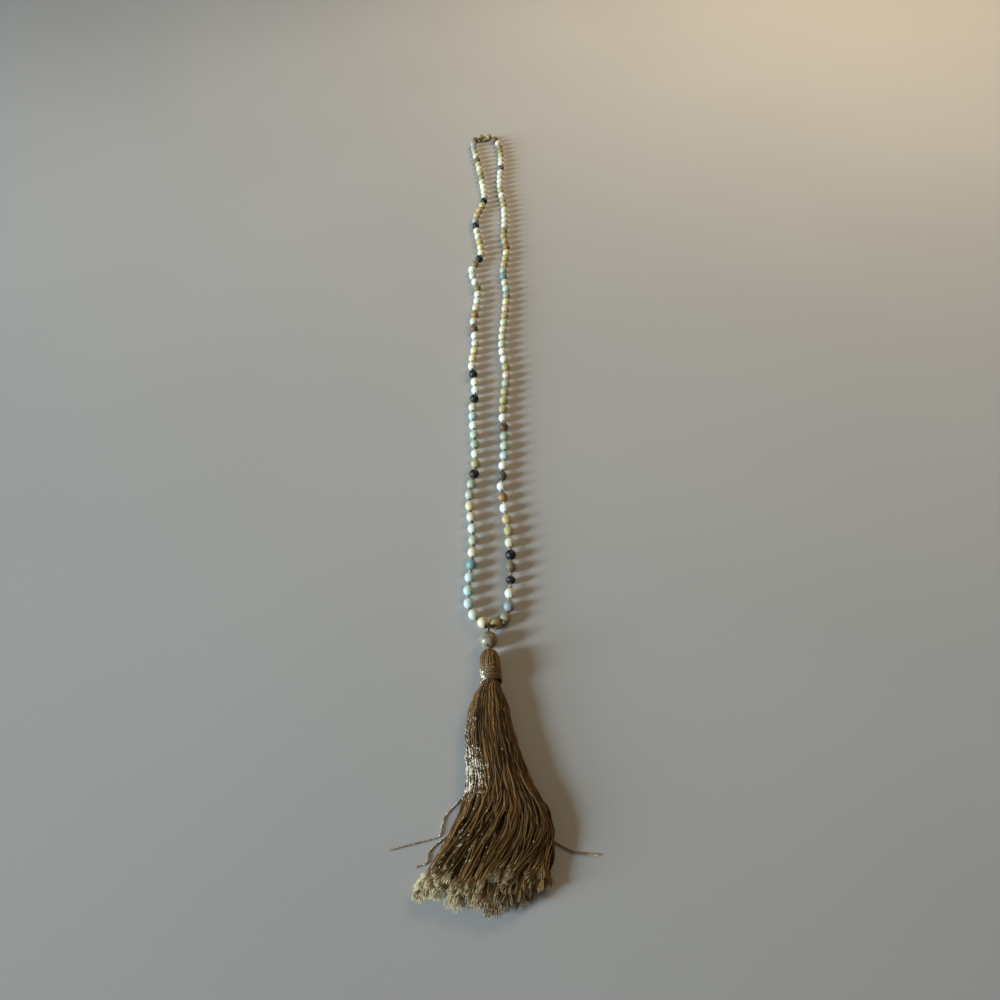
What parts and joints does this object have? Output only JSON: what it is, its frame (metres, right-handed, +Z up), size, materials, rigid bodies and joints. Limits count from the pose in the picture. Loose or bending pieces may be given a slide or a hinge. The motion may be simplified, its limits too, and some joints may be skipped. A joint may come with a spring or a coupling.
{
  "type": "tassel necklace",
  "caption": "Long closed loop of matte stone beads knotted on a thread, with a larger bead and a spread thread tassel, lying flat on a surface.",
  "frame": {"origin": "centre of the bounding box in X and Y, on the surface that the necklace lies on", "axes": "+Z up from the surface, +Y from the tassel along the loop to its far end, +X to the right when looking along +Y"},
  "size_m": [0.0908, 0.6977, 0.0105],
  "materials": {
    "stone_left": "matte, frosted",
    "stone_right": "matte, frosted",
    "cord_thread": "silky, twisted",
    "large_stone": "satin, mottled",
    "tassel_thread": "silky with metallic glints",
    "band_thread": "silky, wound"
  },
  "bodies": {
    "root": {"bead_strand_left": "stone_left", "bead_strand_right": "stone_right", "knotted_thread": "cord_thread", "guru_bead": "large_stone", "tassel": "tassel_thread", "tassel_wrap": "band_thread", "stray_threads": "tassel_thread"}
  },
  "joints": []
}
